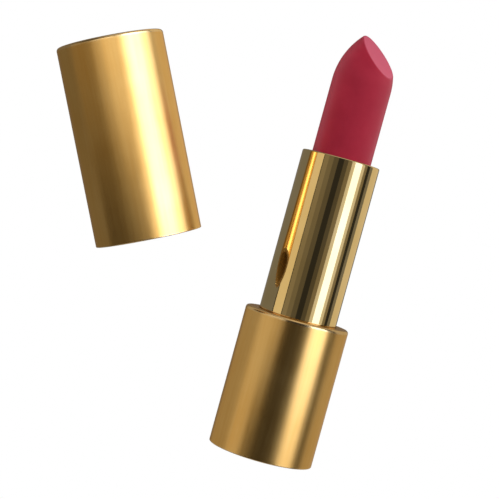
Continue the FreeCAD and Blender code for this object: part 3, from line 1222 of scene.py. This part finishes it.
CAP_STRIPS = (
    Strip(-64.0, 52.0, 0.30, Tone.WARM, start=CAP_START),
    Strip(-28.0, 20.0, 0.75, start=CAP_START),
    Strip(-5.0, 26.0, 1.3, start=CAP_START),
    Strip(18.0, 16.0, 1.0),
    Strip(58.0, 64.0, 2.2, Tone.COOL),
    Strip(48.0, 36.0, 2.5, Tone.COOL),
)
CAP_MATS = (
    Mat(0.016, 0.075, 0.50),
)
INSIDE_STRIPS = (
    Strip(-55.0, 40.0, 0.5),
    Strip(0.0, 40.0, 0.4),
    Strip(50.0, 40.0, 1.0),
)


def tents(layout: Layout) -> list[Tent]:
    """Return the lights of the base, the sleeve, the stick, the cap and the inside.

    Args:
        layout: Where the pieces lie.

    Returns:
        One tent for each of the five.
    """
    lipstick_reach, mouth_inset, cap_reach = 45.0 * MM, 0.6 * MM, 20.0 * MM
    along = Vector((0.0, 1.0, 0.0))
    middle = along * lipstick_reach
    cap_axis = layout.cap_axis()
    cap_middle = layout.cap_mouth(mouth_inset) + cap_axis * cap_reach
    return [
        Tent("base_tent", middle, along, BASE_STRIPS, BASE_MATS),
        Tent("sleeve_tent", middle, along, SLEEVE_STRIPS, SLEEVE_MATS),
        Tent("stick_tent", middle, along, STICK_STRIPS, STICK_MATS),
        Tent("cap_tent", cap_middle, cap_axis, CAP_STRIPS, CAP_MATS),
        Tent("inside_tent", middle, along, INSIDE_STRIPS, ()),
    ]


@dataclass
class Studio:
    """Pale table, pale surroundings, strip lights and the camera."""

    layout: Layout
    table: float = 1.0
    table_glow: float = 0.20
    dark: float = 0.03
    end_glow: float = 0.7
    ends: tuple[float, float] = (0.62, 0.95)
    eye: Vector = field(default_factory=lambda: Vector((-41.576, 48.844, 298.2)) * MM)
    aim: Vector = field(default_factory=lambda: Vector((-12.976, 39.084, 0.0)) * MM)
    roll: float = 15.35
    lens: float = 108.2

    def seen_or_lit(self, tree: bpy.types.NodeTree, seen: float, lit: float,
                    output: bpy.types.Node) -> bpy.types.NodeSocket:
        """Fill a tree with a glow that is brighter to the eye than to the pieces.

        Args:
            tree: The node tree.
            seen: Brightness that the camera sees.
            lit: Brightness that the pieces see.
            output: The tree's output node.

        Returns:
            The socket of the brightness that the pieces see.
        """
        path = tree.nodes.new("ShaderNodeLightPath")
        level = tree.nodes.new("ShaderNodeMapRange")
        level.inputs["To Min"].default_value = lit
        level.inputs["To Max"].default_value = seen
        glow = tree.nodes.new("ShaderNodeEmission")
        tree.links.new(path.outputs["Is Camera Ray"], level.inputs["Value"])
        tree.links.new(level.outputs["Result"], glow.inputs["Strength"])
        tree.links.new(glow.outputs["Emission"], output.inputs["Surface"])
        return level.inputs["To Min"]

    def floor(self) -> None:
        """Lay the table under the pieces."""
        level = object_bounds()[0].z
        reach = 6.0
        mesh = bpy.data.meshes.new("table_top")
        corners = [(-reach, -reach, level), (reach, -reach, level),
                   (reach, reach, level), (-reach, reach, level)]
        mesh.from_pydata(corners, [], [(0, 1, 2, 3)])
        made = bpy.data.objects.new("table_top", mesh)
        bpy.context.scene.collection.objects.link(made)
        paint = bpy.data.materials.new("table_paper")
        paint.use_nodes = True
        paint.node_tree.nodes.clear()
        output = paint.node_tree.nodes.new("ShaderNodeOutputMaterial")
        self.seen_or_lit(paint.node_tree, self.table, self.table_glow, output)
        made.data.materials.append(paint)
        made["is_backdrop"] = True

    def surroundings(self) -> None:
        """Make the room: pale to the eye, dim in the metal."""
        world = bpy.data.worlds.new("room")
        world.use_nodes = True
        world.node_tree.nodes.clear()
        output = world.node_tree.nodes.new("ShaderNodeOutputWorld")
        tree = world.node_tree
        lit = self.seen_or_lit(tree, self.table, self.dark, output)
        around = tree.nodes.new("ShaderNodeTexCoord")
        parts = tree.nodes.new("ShaderNodeSeparateXYZ")
        band = tree.nodes.new("ShaderNodeMapRange")
        band.interpolation_type = "SMOOTHSTEP"
        band.inputs["From Min"].default_value, band.inputs["From Max"].default_value = self.ends
        band.inputs["To Min"].default_value = self.dark
        band.inputs["To Max"].default_value = self.end_glow
        length = tree.nodes.new("ShaderNodeMath")
        length.operation = "ABSOLUTE"
        tree.links.new(around.outputs["Generated"], parts.inputs[0])
        tree.links.new(parts.outputs["Y"], length.inputs[0])
        tree.links.new(length.outputs[0], band.inputs["Value"])
        tree.links.new(band.outputs["Result"], lit)
        bpy.context.scene.world = world

    def camera(self) -> None:
        """Hang the camera over the table."""
        data = bpy.data.cameras.new("camera")
        data.lens = self.lens
        data.sensor_width = 36.0
        data.clip_start, data.clip_end = 0.01, 50.0
        made = bpy.data.objects.new("camera", data)
        back = (self.eye - self.aim).normalized()
        along = Vector((0.0, 1.0, 0.0))
        up = (along - back * along.dot(back)).normalized()
        up.rotate(Matrix.Rotation(math.radians(self.roll), 3, back))
        right = up.cross(back)
        made.matrix_world = (Matrix.Translation(self.eye)
                             @ Matrix((right, up, back)).transposed().to_4x4())
        bpy.context.scene.collection.objects.link(made)
        bpy.context.scene.camera = made

    def look(self) -> None:
        """Show plain colours with no film curve."""
        view = bpy.context.scene.view_settings
        view.view_transform = "Standard"
        view.look = "None"
        view.exposure = 0.0
        view.gamma = 1.0

    def build(self, sets: Sequence[Sequence[bpy.types.Object]]) -> None:
        """Build the studio.

        Args:
            sets: The pieces of the base, the sleeve, the stick, the cap and the inside.
        """
        self.floor()
        self.surroundings()
        self.camera()
        self.look()
        for tent, pieces in zip(tents(self.layout), sets):
            tent.build(pieces)


def main() -> None:
    """Build the lipstick case, its finishes and the studio."""
    logging.basicConfig(level=logging.INFO, format="%(message)s")
    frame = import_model()
    layout = Layout(frame)
    base = Base(layout).build()
    sleeve = Sleeve(layout).build()
    stick = Stick(layout).build()
    cap = Cap(layout).build()
    inner = InnerPieces(frame, layout).build()
    Studio(layout).build([base, sleeve, stick, cap, inner])


if __name__ == "__main__":
    main()
